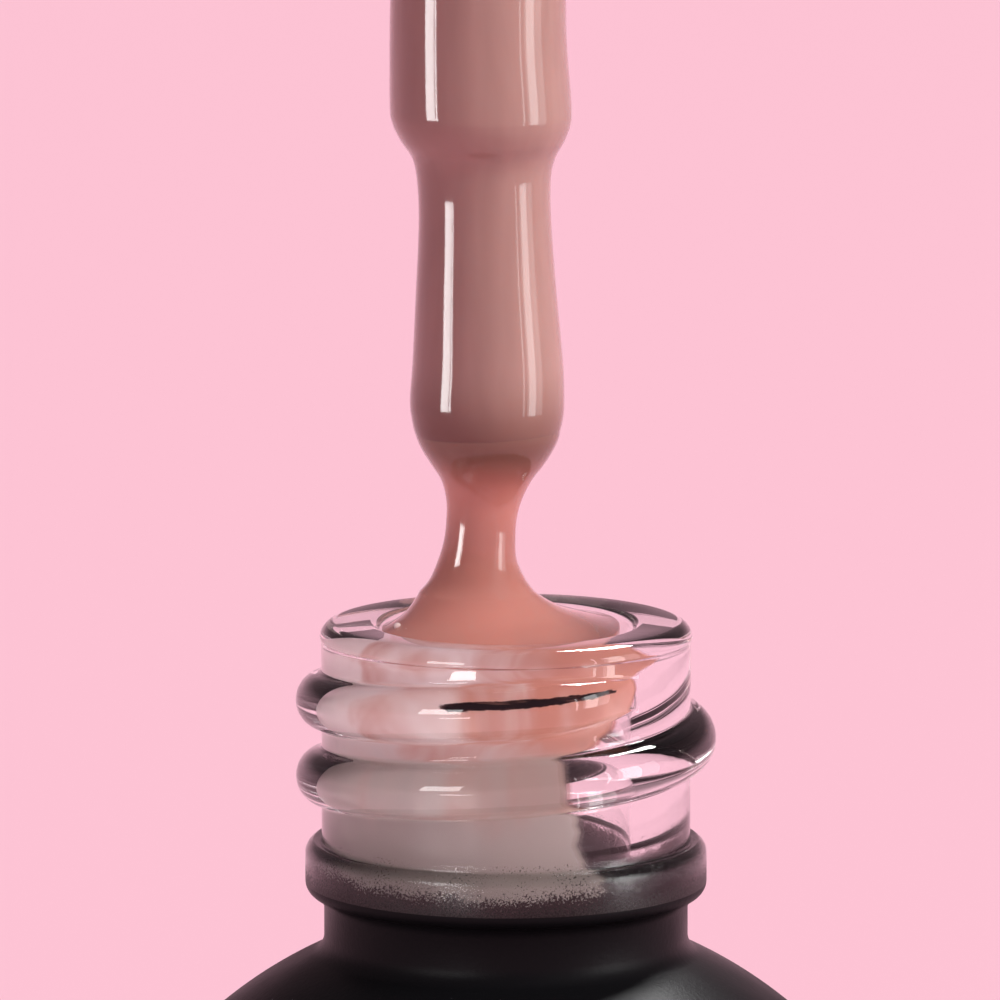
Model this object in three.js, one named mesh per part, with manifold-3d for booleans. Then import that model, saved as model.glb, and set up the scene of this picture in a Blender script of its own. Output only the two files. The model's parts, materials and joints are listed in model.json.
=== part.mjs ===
// Nail polish bottle with its brush cap, in millimetres, +Z up.
// The origin is the centre of the bottle's foot. The cap is unscrewed and its brush is lifted out of
// the open neck, and a strand of polish still joins the brush to the mouth.

import * as THREE from "three";
import { mergeVertices } from "three/addons/utils/BufferGeometryUtils.js";
import Module from "manifold-3d";

const wasm = await Module();
wasm.setup();

// ---- Driving dimensions ----

const TURN = 2 * Math.PI;
const ROUND_SIDES = 36;
const SMALL_ROUND_SIDES = 20;
const ARC_DIVISIONS = 3;
const FIT_GAP = 0.05; // between pieces that are pressed or stuck together
const LIQUID_GAP = 0.2; // between the liquid and the round walls that hold it

// Bottle
const RIM_Z = 49;
const BODY_R = 15.9;
const WALL = 2;
const SHOULDER_Z = RIM_Z - 26.2; // centre of the round shoulder
const HEEL_R = 2;
const FLOOR_Z = 3.5;
const FLOOR_CORNER_R = 2.5;
const PUNT_R = 11;
const PUNT_DEPTH = 0.8;
const BORE_R = 4.4;
const BORE_CORNER_R = 1.2; // where the bore opens into the shoulder
const NECK_R = 6.5;
const NECK_FOOT_R = 6.4;
const NECK_FILLET_R = 0.8;
const LIP_R = 6.55;
const LIP_CORNER_R = 0.5;
const LIP_DEPTH = 0.65;
const MOUTH_EDGE_R = 0.35;
const BEAD_R = 7.08;
const BEAD_TOP = 7.8; // depth below the rim
const BEAD_HEIGHT = 1.8;

// Screw thread, right-handed
const PITCH = 2.7;
const THREAD_HEIGHT = 0.9;
const THREAD_WIDTH = 1.96;
const THREAD_TURNS = 1.54;
const THREAD_TOP_DEPTH = 1.7; // depth of the ridge's middle at its upper end
const THREAD_TOP_ANGLE = THREE.MathUtils.degToRad(313);
const CLOSING_TURNS = 1.5;
const CLOSED_GAP = 0.1; // between the liner and the rim when the cap is closed

// Contents
const POLISH_LEVEL_Z = 28.5;
const FILM_THICKNESS = 0.25;
const BALL_R = 2.25;
const BALL_PLACES = [
  [6.4, 5.2],
  [-3.6, 8.4],
];

// Lifted brush: heights are above the rim
const BRUSH_X = -0.8; // the lifted brush hangs this far to the left of the neck's axis
const TIP_H = 6.3;
const BRUSH_LENGTH = 43; // from the liner's underside to the tip
const STEM_R = 2.5;
const STEM_END_H = 16.6;
const TUFT_HOLE_R = 1.6;
const TUFT_HOLE_DEPTH = 5.2;
const TUFT_HELD = 3.8; // length of tuft inside the hole
const TUFT_ROOT_R = 1.85;
const TUFT_TIP_R = 2.3;
const COAT_TOP_H = 32;
const COAT_R = 3.1;
const COAT_WAIST_R = 2.35;
const COAT_BELLY_R = 2.7;
const STRAND_WAIST_R = 1.25;
const STRAND_WAIST_H = 3.4;
const STRAND_FOOT_R = 3.85;

// Cap: heights are above the liner's underside
const LINER_Z = RIM_Z + TIP_H + BRUSH_LENGTH;
const LINER_THICKNESS = 1;
const LINER_R = 6.5;
const FLANGE_R = 6.3;
const FLANGE_THICKNESS = 1.2;
const PLUG_R = 2.2;
const PLUG_LENGTH = 7;
const INNER_CAP_R = 8.5;
const INNER_CAP_BORE_R = 7.75;
const INNER_CAP_SKIRT = 9.6;
const INNER_CAP_DECK = 2;
const BOSS_R = 4.2;
const BOSS_HEIGHT = 7;
const CAP_THREAD_HEIGHT = 0.75;
const CAP_THREAD_WIDTH = 1.15;
const CAP_THREAD_CREST = 0.45;
const CAP_THREAD_TURNS = 1.35;
const OUTER_CAP_R = 9.6;
const OUTER_CAP_TOP_R = 9.25;
const OUTER_CAP_SKIRT = 12.7;
const OUTER_CAP_HEIGHT = 27;
const OUTER_CAP_DECK = 1.6;
const OUTER_CAP_EDGE_R = 0.9;

// ---- Materials ----

function finish(color, roughness, metalness = 0, opacity = 1) {
  return new THREE.MeshStandardMaterial({
    color,
    roughness,
    metalness,
    opacity,
    transparent: opacity < 1,
  });
}

const clearGlass = finish(0xe9c9d6, 0.05, 0, 0.4);
const polishPaint = finish(0xb98078, 0.12);
const thinPolish = finish(0xc08d86, 0.12, 0, 0.7);
const blackPlastic = finish(0x17171a, 0.45);
const stemPlastic = finish(0x1e1e21, 0.5);
const linerFoam = finish(0xf1efe9, 0.8);
const bristleNylon = finish(0x2a2022, 0.4);
const steel = finish(0xb8bbc0, 0.25, 1);
const labelPaper = finish(0xd8d4d0, 0.7);

// ---- Shaping helpers ----

const parts = new THREE.Group();

function addPart(name, geometry, material, parent = parts) {
  const mesh = new THREE.Mesh(geometry, material);
  mesh.name = name;
  parent.add(mesh);
  return mesh;
}

// Turns an outline of radius and height about the Z axis. The outline runs with the material on its left.
function turned(draw, sides = ROUND_SIDES) {
  const outline = new THREE.Path();
  draw(outline);
  const geometry = new THREE.LatheGeometry(outline.getPoints(ARC_DIVISIONS), sides);
  return geometry.rotateX(Math.PI / 2);
}

function toSolid(geometry) {
  const bare = geometry.clone();
  bare.deleteAttribute("normal");
  bare.deleteAttribute("uv");
  const merged = mergeVertices(bare, 1e-4);
  const mesh = new wasm.Mesh({
    numProp: 3,
    vertProperties: merged.attributes.position.array,
    triVerts: new Uint32Array(merged.index.array),
  });
  return new wasm.Manifold(mesh);
}

function toGeometry(solid) {
  const mesh = solid.getMesh();
  const geometry = new THREE.BufferGeometry();
  geometry.setAttribute("position", new THREE.BufferAttribute(mesh.vertProperties, 3));
  geometry.setIndex(new THREE.BufferAttribute(mesh.triVerts, 1));
  geometry.computeVertexNormals();
  return geometry;
}

// The centre of a fillet that joins an upright wall to a round shoulder, and the angle at which it
// meets the shoulder.
function shoulderFillet(wallR, shoulderR, filletR) {
  const reach = shoulderR + filletR;
  const x = wallR + filletR;
  const rise = Math.sqrt(reach * reach - x * x);
  return { x, z: SHOULDER_Z + rise, angle: Math.atan2(rise, x) };
}

// A ridge that winds round the Z axis. It starts as a straight extruded bar, which is bent onto a
// helix, and its height falls away over the last part of a turn at both ends.
// side is 1 for a ridge on the outside of a cylinder and -1 for one on the inside of a bore.
function helicalRidge(section, { radius, turns, startAngle, startZ, side }) {
  const stepsPerTurn = 24;
  const endTaper = 0.1;
  const bar = new THREE.ExtrudeGeometry(section, {
    depth: 1,
    steps: Math.round(stepsPerTurn * turns),
    bevelEnabled: false,
  });
  const place = bar.attributes.position;
  for (let i = 0; i < place.count; i++) {
    const along = place.getZ(i);
    const toEnd = Math.min(along, 1 - along) * turns;
    const fade = Math.sin((Math.PI / 2) * Math.min(toEnd / endTaper, 1));
    const out = place.getY(i) > 0 ? place.getY(i) * fade : place.getY(i);
    const angle = startAngle + side * along * turns * TURN;
    const r = radius + side * out;
    const z = startZ + side * along * turns * PITCH + place.getX(i) * (0.55 + 0.45 * fade);
    place.setXYZ(i, r * Math.cos(angle), r * Math.sin(angle), z);
  }
  return bar;
}

// ---- Bottle ----

function bottleGlass() {
  const outer = shoulderFillet(NECK_FOOT_R, BODY_R, NECK_FILLET_R);
  const inner = shoulderFillet(BORE_R, BODY_R - WALL, BORE_CORNER_R);
  const beadRise = BEAD_R - NECK_R + 0.05;
  const beadArcR = (BEAD_HEIGHT * BEAD_HEIGHT) / 4 / (2 * beadRise) + beadRise / 2;
  const beadHalfAngle = Math.asin(BEAD_HEIGHT / 2 / beadArcR);
  const beadZ = RIM_Z - BEAD_TOP - BEAD_HEIGHT / 2;
  const insideR = BODY_R - WALL;

  const shell = turned((p) => {
    p.moveTo(0, PUNT_DEPTH);
    p.lineTo(PUNT_R - PUNT_DEPTH, PUNT_DEPTH);
    p.lineTo(PUNT_R, 0);
    p.absarc(BODY_R - HEEL_R, HEEL_R, HEEL_R, -Math.PI / 2, 0);
    p.absarc(0, SHOULDER_Z, BODY_R, 0, outer.angle);
    p.absarc(outer.x, outer.z, NECK_FILLET_R, outer.angle + Math.PI, Math.PI, true);
    p.absarc(BEAD_R - beadArcR, beadZ, beadArcR, -beadHalfAngle, beadHalfAngle);
    p.lineTo(NECK_R, RIM_Z - LIP_DEPTH);
    p.lineTo(LIP_R, RIM_Z - LIP_DEPTH + 0.1);
    p.absarc(LIP_R - LIP_CORNER_R, RIM_Z - LIP_CORNER_R, LIP_CORNER_R, 0, Math.PI / 2);
    p.absarc(BORE_R + MOUTH_EDGE_R, RIM_Z - MOUTH_EDGE_R, MOUTH_EDGE_R, Math.PI / 2, Math.PI);
    p.absarc(inner.x, inner.z, BORE_CORNER_R, Math.PI, inner.angle + Math.PI);
    p.absarc(0, SHOULDER_Z, insideR, inner.angle, 0, true);
    p.absarc(insideR - FLOOR_CORNER_R, FLOOR_Z + FLOOR_CORNER_R, FLOOR_CORNER_R, 0, -Math.PI / 2, true);
    p.lineTo(0, FLOOR_Z);
  });

  const embed = 0.3;
  const section = new THREE.Shape();
  section.moveTo(-THREAD_WIDTH / 2, -embed);
  section.lineTo(THREAD_WIDTH / 2, -embed);
  section.absellipse(0, 0, THREAD_WIDTH / 2, THREAD_HEIGHT, 0, Math.PI);
  const thread = helicalRidge(new THREE.Shape(section.getPoints(ARC_DIVISIONS)), {
    radius: NECK_R,
    turns: THREAD_TURNS,
    startAngle: THREAD_TOP_ANGLE - THREAD_TURNS * TURN,
    startZ: RIM_Z - THREAD_TOP_DEPTH - THREAD_TURNS * PITCH,
    side: 1,
  });
  return toGeometry(toSolid(shell).add(toSolid(thread)));
}

function polishFill() {
  const liquidR = BODY_R - WALL - LIQUID_GAP;
  const bottom = FLOOR_Z + FIT_GAP;
  const topAngle = Math.asin((POLISH_LEVEL_Z - SHOULDER_Z) / liquidR);
  let liquid = toSolid(
    turned((p) => {
      p.moveTo(0, bottom);
      p.lineTo(liquidR - FLOOR_CORNER_R, bottom);
      p.absarc(liquidR - FLOOR_CORNER_R, bottom + FLOOR_CORNER_R, FLOOR_CORNER_R, -Math.PI / 2, 0);
      p.absarc(0, SHOULDER_Z, liquidR, 0, topAngle);
      p.lineTo(0, POLISH_LEVEL_Z);
    }),
  );
  const pocketGap = 0.3;
  for (const [x, y] of BALL_PLACES) {
    const height = 2 * BALL_R + 2 * pocketGap;
    const pocket = new THREE.CylinderGeometry(BALL_R + pocketGap, BALL_R + pocketGap, 2 * height, 12);
    pocket.rotateX(Math.PI / 2).translate(x, y, FLOOR_Z);
    liquid = liquid.subtract(toSolid(pocket));
  }
  return toGeometry(liquid);
}

function neckFilm() {
  const outerR = BORE_R - FIT_GAP;
  const innerR = outerR - FILM_THICKNESS;
  return turned((p) => {
    p.moveTo(innerR, RIM_Z - 12);
    p.lineTo(outerR, RIM_Z - 12);
    p.lineTo(outerR, RIM_Z - 0.6);
    p.lineTo(innerR, RIM_Z - 0.8);
    p.closePath();
  }, SMALL_ROUND_SIDES);
}

function baseLabel() {
  const thickness = 0.15;
  return new THREE.CylinderGeometry(PUNT_R - 1.5, PUNT_R - 1.5, thickness, ROUND_SIDES)
    .rotateX(Math.PI / 2)
    .translate(0, 0, PUNT_DEPTH - FIT_GAP - thickness / 2);
}

addPart("bottle_glass", bottleGlass(), clearGlass);
addPart("polish_fill", polishFill(), polishPaint);
addPart("polish_neck_film", neckFilm(), thinPolish);
addPart("base_label", baseLabel(), labelPaper);
BALL_PLACES.forEach(([x, y], i) => {
  const ball = addPart(`mixing_ball_${i + 1}`, new THREE.SphereGeometry(BALL_R, 12, 8), steel);
  ball.position.set(x, y, FLOOR_Z + BALL_R + FIT_GAP);
});

// ---- Lifted brush, about its own axis, heights above the rim ----

const brush = new THREE.Group();
brush.position.set(BRUSH_X, 0, RIM_Z);
parts.add(brush);

function polishStrand() {
  const top = TIP_H - FIT_GAP;
  return turned((p) => {
    p.moveTo(0, -0.3);
    p.lineTo(STRAND_FOOT_R - 0.8, -0.3);
    p.bezierCurveTo(2, 0.7, STRAND_WAIST_R, 1.6, STRAND_WAIST_R, STRAND_WAIST_H);
    p.bezierCurveTo(STRAND_WAIST_R, 4.6, 1.5, 5.4, 1.75, top);
    p.lineTo(0, top);
  }, SMALL_ROUND_SIDES);
}

function polishCoat() {
  const gap = FIT_GAP;
  const stemHole = STEM_R + gap;
  const step = STEM_END_H - 0.4;
  return turned((p) => {
    p.moveTo(0, TIP_H);
    p.lineTo(1.8, TIP_H);
    p.bezierCurveTo(2.4, TIP_H + 0.7, COAT_BELLY_R, TIP_H + 1.2, COAT_BELLY_R, TIP_H + 2.2);
    p.lineTo(COAT_WAIST_R, step - 0.4);
    p.lineTo(COAT_R, step + 0.5);
    p.lineTo(COAT_R, COAT_TOP_H - 1);
    p.lineTo(stemHole, COAT_TOP_H);
    p.lineTo(stemHole, STEM_END_H - gap);
    p.lineTo(TUFT_ROOT_R + gap, STEM_END_H - gap);
    p.lineTo(TUFT_TIP_R + gap, TIP_H + 1.6);
    p.lineTo(TUFT_TIP_R - 0.5, TIP_H + 0.4);
    p.lineTo(0, TIP_H + 0.4);
  });
}

function bristleTuft() {
  const bottom = TIP_H + 0.5;
  const heldR = TUFT_HOLE_R - FIT_GAP;
  return turned((p) => {
    p.moveTo(0, bottom);
    p.lineTo(TUFT_TIP_R - 0.6, bottom);
    p.lineTo(TUFT_TIP_R, bottom + 1.1);
    p.lineTo(TUFT_ROOT_R, STEM_END_H - 0.4);
    p.lineTo(heldR, STEM_END_H - 0.1);
    p.lineTo(heldR, STEM_END_H + TUFT_HELD);
    p.lineTo(0, STEM_END_H + TUFT_HELD);
  }, SMALL_ROUND_SIDES);
}

function bristleStaple() {
  const height = 1.1;
  return new THREE.BoxGeometry(2.9, 0.6, height).translate(0, 0, STEM_END_H + TUFT_HELD + 0.05 + height / 2);
}

function brushStem() {
  const liner = LINER_Z - RIM_Z;
  const flangeBottom = liner + LINER_THICKNESS + FIT_GAP;
  const flangeTop = flangeBottom + FLANGE_THICKNESS;
  return turned((p) => {
    p.moveTo(0, STEM_END_H + TUFT_HOLE_DEPTH);
    p.lineTo(TUFT_HOLE_R, STEM_END_H + TUFT_HOLE_DEPTH);
    p.lineTo(TUFT_HOLE_R, STEM_END_H);
    p.lineTo(STEM_R - 0.3, STEM_END_H);
    p.lineTo(STEM_R, STEM_END_H + 0.3);
    p.lineTo(STEM_R, flangeBottom);
    p.lineTo(FLANGE_R, flangeBottom);
    p.lineTo(FLANGE_R, flangeTop);
    p.lineTo(PLUG_R, flangeTop);
    p.lineTo(PLUG_R, flangeTop + PLUG_LENGTH - 0.5);
    p.lineTo(PLUG_R - 0.5, flangeTop + PLUG_LENGTH);
    p.lineTo(0, flangeTop + PLUG_LENGTH);
  });
}

addPart("polish_strand", polishStrand(), polishPaint, brush);
addPart("polish_coat", polishCoat(), polishPaint, brush);
addPart("bristle_tuft", bristleTuft(), bristleNylon, brush);
addPart("bristle_staple", bristleStaple(), steel, brush);
addPart("brush_stem", brushStem(), stemPlastic, brush);

// ---- Cap, about the brush's axis, heights above the liner's underside ----

const cap = new THREE.Group();
cap.position.set(BRUSH_X, 0, LINER_Z);
parts.add(cap);

const deckBottom = LINER_THICKNESS + FLANGE_THICKNESS + 2 * FIT_GAP;

function sealingLiner() {
  const holeR = STEM_R + 0.1;
  return turned((p) => {
    p.moveTo(holeR, 0);
    p.lineTo(LINER_R, 0);
    p.lineTo(LINER_R, LINER_THICKNESS);
    p.lineTo(holeR, LINER_THICKNESS);
    p.closePath();
  });
}

// The threaded cap that grips the neck. Its ridge lies half a pitch below the bottle's when it is closed.
function innerCap() {
  const socketR = PLUG_R + FIT_GAP;
  const socketTop = deckBottom + PLUG_LENGTH + 0.2;
  const body = turned((p) => {
    p.moveTo(INNER_CAP_BORE_R, -INNER_CAP_SKIRT);
    p.lineTo(INNER_CAP_R, -INNER_CAP_SKIRT);
    p.lineTo(INNER_CAP_R, deckBottom + INNER_CAP_DECK);
    p.lineTo(BOSS_R, deckBottom + INNER_CAP_DECK);
    p.lineTo(BOSS_R, deckBottom + INNER_CAP_DECK + BOSS_HEIGHT);
    p.lineTo(0, deckBottom + INNER_CAP_DECK + BOSS_HEIGHT);
    p.lineTo(0, socketTop);
    p.lineTo(socketR, socketTop);
    p.lineTo(socketR, deckBottom);
    p.lineTo(INNER_CAP_BORE_R, deckBottom);
    p.closePath();
  });

  const embed = 0.3;
  const section = new THREE.Shape();
  section.moveTo(-CAP_THREAD_WIDTH / 2, -embed);
  section.lineTo(CAP_THREAD_WIDTH / 2, -embed);
  section.lineTo(CAP_THREAD_WIDTH / 2, 0);
  section.lineTo(CAP_THREAD_CREST / 2, CAP_THREAD_HEIGHT);
  section.lineTo(-CAP_THREAD_CREST / 2, CAP_THREAD_HEIGHT);
  section.lineTo(-CAP_THREAD_WIDTH / 2, 0);
  const ridge = helicalRidge(section, {
    radius: INNER_CAP_BORE_R,
    turns: CAP_THREAD_TURNS,
    startAngle: THREAD_TOP_ANGLE + CLOSING_TURNS * TURN,
    startZ: -(THREAD_TOP_DEPTH + PITCH / 2 + CLOSED_GAP),
    side: -1,
  });
  return toGeometry(toSolid(body).add(toSolid(ridge)));
}

function outerCap() {
  const holeR = INNER_CAP_R + FIT_GAP;
  const chamberR = INNER_CAP_R - 0.8;
  const seat = deckBottom + INNER_CAP_DECK + FIT_GAP;
  const edge = OUTER_CAP_EDGE_R;
  return turned((p) => {
    p.moveTo(holeR, -OUTER_CAP_SKIRT);
    p.lineTo(OUTER_CAP_R - 0.2, -OUTER_CAP_SKIRT);
    p.lineTo(OUTER_CAP_R, -OUTER_CAP_SKIRT + 0.2);
    p.absarc(OUTER_CAP_TOP_R - edge, OUTER_CAP_HEIGHT - edge, edge, 0, Math.PI / 2);
    p.lineTo(0, OUTER_CAP_HEIGHT);
    p.lineTo(0, OUTER_CAP_HEIGHT - OUTER_CAP_DECK);
    p.lineTo(chamberR, OUTER_CAP_HEIGHT - OUTER_CAP_DECK);
    p.lineTo(chamberR, seat);
    p.lineTo(holeR, seat);
    p.closePath();
  });
}

addPart("cap_liner", sealingLiner(), linerFoam, cap);
addPart("inner_cap", innerCap(), blackPlastic, cap);
addPart("outer_cap", outerCap(), blackPlastic, cap);

export default parts;
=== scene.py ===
"""Nail polish bottle with its brush lifted out and a strand of wet polish between brush and mouth.

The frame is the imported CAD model: +Z up, -Y towards the viewer. Shapes are drawn in millimetres and
become metres when their object is made.
"""

import json
import math
import random

import bmesh
import bpy
from mathutils import Matrix, Vector, noise


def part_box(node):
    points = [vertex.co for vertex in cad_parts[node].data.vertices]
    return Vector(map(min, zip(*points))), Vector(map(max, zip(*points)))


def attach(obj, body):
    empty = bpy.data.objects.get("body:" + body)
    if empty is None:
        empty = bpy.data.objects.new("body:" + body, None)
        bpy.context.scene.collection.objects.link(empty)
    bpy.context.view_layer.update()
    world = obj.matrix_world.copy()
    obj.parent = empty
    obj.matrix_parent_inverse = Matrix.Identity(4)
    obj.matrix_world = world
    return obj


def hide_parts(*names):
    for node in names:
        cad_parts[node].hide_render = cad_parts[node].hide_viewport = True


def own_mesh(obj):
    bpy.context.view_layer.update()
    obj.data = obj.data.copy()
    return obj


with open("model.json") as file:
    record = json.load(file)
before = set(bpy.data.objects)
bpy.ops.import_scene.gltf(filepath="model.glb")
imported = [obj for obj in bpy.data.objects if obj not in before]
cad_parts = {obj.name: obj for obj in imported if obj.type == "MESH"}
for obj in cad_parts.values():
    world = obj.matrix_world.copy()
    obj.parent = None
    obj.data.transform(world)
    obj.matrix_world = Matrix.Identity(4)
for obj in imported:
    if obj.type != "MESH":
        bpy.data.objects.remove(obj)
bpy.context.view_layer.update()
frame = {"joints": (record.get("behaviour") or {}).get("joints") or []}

MM = 0.001
TAU = 2 * math.pi

# ---- Places, from the frame, in millimetres ----

glass_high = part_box("bottle_glass")[1]
ball_boxes = [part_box("mixing_ball_1"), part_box("mixing_ball_2")]
label_low, label_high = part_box("base_label")
cap_low, cap_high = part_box("outer_cap")
turn = next(j for j in frame["joints"] if j["name"] == "cap_turn")

RIM = glass_high.z / MM
BODY_R = glass_high.x / MM
BRUSH_X = turn["pos_m"][0] / MM
LINER_Z = turn["pos_m"][2] / MM
CAP_TOP = cap_high.z / MM
CAP_BOTTOM = cap_low.z / MM
POOL_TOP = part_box("polish_fill")[1].z / MM

# ---- Driving sizes, in millimetres ----

SIDES = 256
WALL = 2.0
SHOULDER_Z = RIM - 26.2
HEEL_R = 2.0
FLOOR_Z = 3.5
FLOOR_CORNER_R = 2.5
PUNT_R = 11.0
PUNT_DEPTH = 0.8
NECK_R = 6.5
NECK_FOOT_R = 6.42
NECK_FILLET_R = 0.8
LIP_R = 6.55
LIP_DEPTH = 0.64
LIP_OUTER_CORNER_R = 0.56
LIP_INNER_CORNER_R = 0.42
LIP_INNER_CORNER_Z = RIM - 0.46
BORE_R = 4.4
BORE_CORNER_R = 1.2
BEAD_DEPTH = 8.72
BEAD_HALF = 0.92
BEAD_RISE = 0.58
BEAD_CORNER_R = 0.5
BEAD_FILLET_R = 0.16

PITCH = 2.7
THREAD_HALF = 0.98
THREAD_RISE = 0.9
THREAD_FILLET_R = 0.14
THREAD_TURNS = 1.54
THREAD_TOP_DEPTH = 1.78
THREAD_TOP_ANGLE = math.radians(313)
FADE_TURNS = 0.1
CLOSING_TURNS = 1.5
CLOSED_GAP = 0.1

STEM_R = 2.5
STEM_END_H = 16.6
TUFT_HOLE_R = 1.6
TUFT_HOLE_DEPTH = 5.2
TUFT_HELD = 3.8
PLUG_R = 2.15
COAT_TOP_H = 32.0

# ---- Sizes of the cap, in millimetres ----

LINER_R = 6.5
LINER_THICK = 1.0
FLANGE_R = 6.3
FLANGE_BOTTOM = LINER_Z + 1.05
FLANGE_TOP = FLANGE_BOTTOM + 1.2
DECK_BOTTOM = LINER_Z + 2.3
DECK_TOP = DECK_BOTTOM + 2
CAP_BORE_R = 7.75
CAP_THREAD_HALF = 0.5
CAP_THREAD_RISE = 0.72
CAP_THREAD_FILLET_R = 0.1
CAP_THREAD_TURNS = 1.35
INNER_CAP_R = 8.5
BOSS_R = 4.2
BOSS_H = 7
CAP_HOLE_R = 8.55
CAP_FOOT_R = 9.6
CAP_TOP_R = 9.25
CAP_EDGE_R = 0.9
CAP_CORNER_R = 0.25

# ---- Small helpers ----


def clamp(t, low=0.0, high=1.0):
    return min(max(t, low), high)


def smooth(t):
    """0 below 0, 1 above 1, and an S curve between."""
    t = clamp(t)
    return t * t * (3 - 2 * t)


def mix(a, b, t):
    return a + (b - a) * t


def level(points, x):
    """The height at x of a smooth line through (x, height) points."""
    if x <= points[0][0]:
        return points[0][1]
    for (x0, y0), (x1, y1) in zip(points, points[1:]):
        if x <= x1:
            return mix(y0, y1, smooth((x - x0) / (x1 - x0)))
    return points[-1][1]


def wander(x, y, z, size):
    """Smooth noise from about -1 to 1 whose lumps are of that size."""
    return noise.noise(Vector((x / size, y / size, z / size)))


def arc(x, z, r, start, end, count):
    """Points of a circular arc in a profile, in degrees."""
    angles = [math.radians(mix(start, end, i / count)) for i in range(count + 1)]
    return [(x + r * math.cos(a), z + r * math.sin(a)) for a in angles]


def curve_through(points, per_span):
    """A Catmull-Rom curve through the points, which may have any number of coordinates."""
    ends = [points[0], *points, points[-1]]
    made = []
    for i in range(len(points) - 1):
        four = ends[i : i + 4]
        for k in range(per_span):
            t = k / per_span
            made.append(tuple(catmull(t, *values) for values in zip(*four)))
    made.append(tuple(points[-1]))
    return made


def catmull(t, a, b, c, d):
    square = 2 * a - 5 * b + 4 * c - d
    cube = 3 * b - a - 3 * c + d
    return 0.5 * (2 * b + (c - a) * t + square * t**2 + cube * t**3)


# Every piece that rides on a body, for the lights that are kept to some of them.
pieces = []


def new_object(name, bm, materials, body, stands_for=(), merge=1e-4):
    """Makes an object in metres from a bmesh in millimetres, and lets it ride on a body.

    The bmesh is used up. A piece without a body is part of the studio.
    """
    if merge:
        bmesh.ops.remove_doubles(bm, verts=bm.verts, dist=merge)
    bmesh.ops.recalc_face_normals(bm, faces=bm.faces)
    mesh = bpy.data.meshes.new(name)
    bm.to_mesh(mesh)
    bm.free()
    mesh.transform(Matrix.Scale(MM, 4))
    obj = bpy.data.objects.new(name, mesh)
    bpy.context.scene.collection.objects.link(obj)
    for material in materials:
        mesh.materials.append(material)
    mesh.shade_smooth()
    if body:
        pieces.append(obj)
        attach(obj, body)
        if stands_for:
            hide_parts(*stands_for)
    return obj


def join_rings(bm, low, high, material=0):
    """Faces between two rings of vertices. A ring of one vertex is a pole."""
    count = max(len(low), len(high))
    for i in range(count):
        j = (i + 1) % count
        corners = [low[i % len(low)], low[j % len(low)], high[j % len(high)], high[i % len(high)]]
        corners = list(dict.fromkeys(corners))
        if len(corners) > 2:
            bm.faces.new(corners).material_index = material


def turned(bm, profile, sides=SIDES, x=0.0, material=0, closed=False, wobble=None):
    """Turns (radius, height) points about an upright axis at x.

    wobble(angle, radius, height) gives a changed radius.
    """
    rings = []
    for r, z in profile:
        count = 1 if r < 1e-9 else sides
        ring = []
        for i in range(count):
            a = TAU * i / sides
            rr = wobble(a, r, z) if wobble else r
            ring.append(bm.verts.new((x + rr * math.cos(a), rr * math.sin(a), z)))
        rings.append(ring)
    if closed:
        rings.append(rings[0])
    for low, high in zip(rings, rings[1:]):
        join_rings(bm, low, high, material)


# ---- Screw threads ----


def ridge_section(half, rise, fillet, reach, count):
    """(along, out) points of a rounded ridge with filleted feet, on a flat that goes out to reach."""
    side = [(-mix(reach, half + fillet, i / 3), 0.0) for i in range(3)]
    side += arc(-half - fillet, fillet, fillet, -90, 0, 4)[:-1]
    start = math.asin(fillet / rise)
    crest = []
    for i in range(count + 1):
        a = mix(start, math.pi - start, i / count)
        crest.append((-half * math.cos(a), rise * math.sin(a)))
    other = [(-x, y) for x, y in reversed(side)]
    return side + crest + other


def threaded_wall(bm, radius, low, high, section, top_angle, top_z, turns, side, x=0.0):
    """An upright round wall from low to high whose rows follow a helical ridge.

    The ridge's crest is smooth in this way. side is 1 for a ridge outside and -1 for one inside. The
    ridge fades away at both of its ends.
    """
    rows_per_turn = len(section)
    phase = top_z - PITCH * top_angle / TAU
    base = phase + PITCH * (math.floor((low - phase) / PITCH) - 2)
    rows = rows_per_turn * (math.ceil((high - base) / PITCH) + 2)
    made = {}

    def vertex(row, i):
        row = min(row, rows - 1)
        m, k = divmod(row, rows_per_turn)
        along, out = section[k]
        middle = base + PITCH * (m + i / SIDES)
        turns_down = (top_z - middle) / PITCH
        fade = math.sin(math.pi / 2 * clamp(min(turns_down, turns - turns_down) / FADE_TURNS))
        # The ridge also narrows as it fades. The edges of the flat round it stay where they are.
        if abs(along) < PITCH / 2 - 0.2:
            along *= 0.55 + 0.45 * fade
        z = clamp(middle + along, low, high)
        r = radius if z in (low, high) else radius + side * out * fade
        key = (i, round(z, 5), round(r, 5))
        if key not in made:
            a = TAU * i / SIDES
            made[key] = bm.verts.new((x + r * math.cos(a), r * math.sin(a), z))
        return made[key]

    for row in range(rows - 1):
        for i in range(SIDES):
            j = (i + 1) % SIDES
            step = rows_per_turn if j == 0 else 0
            next_row = row + step
            corners = [vertex(row, i), vertex(next_row, j), vertex(next_row + 1, j), vertex(row + 1, i)]
            corners = list(dict.fromkeys(corners))
            if len(corners) > 2:
                bm.faces.new(corners)


# ---- Materials ----


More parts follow.
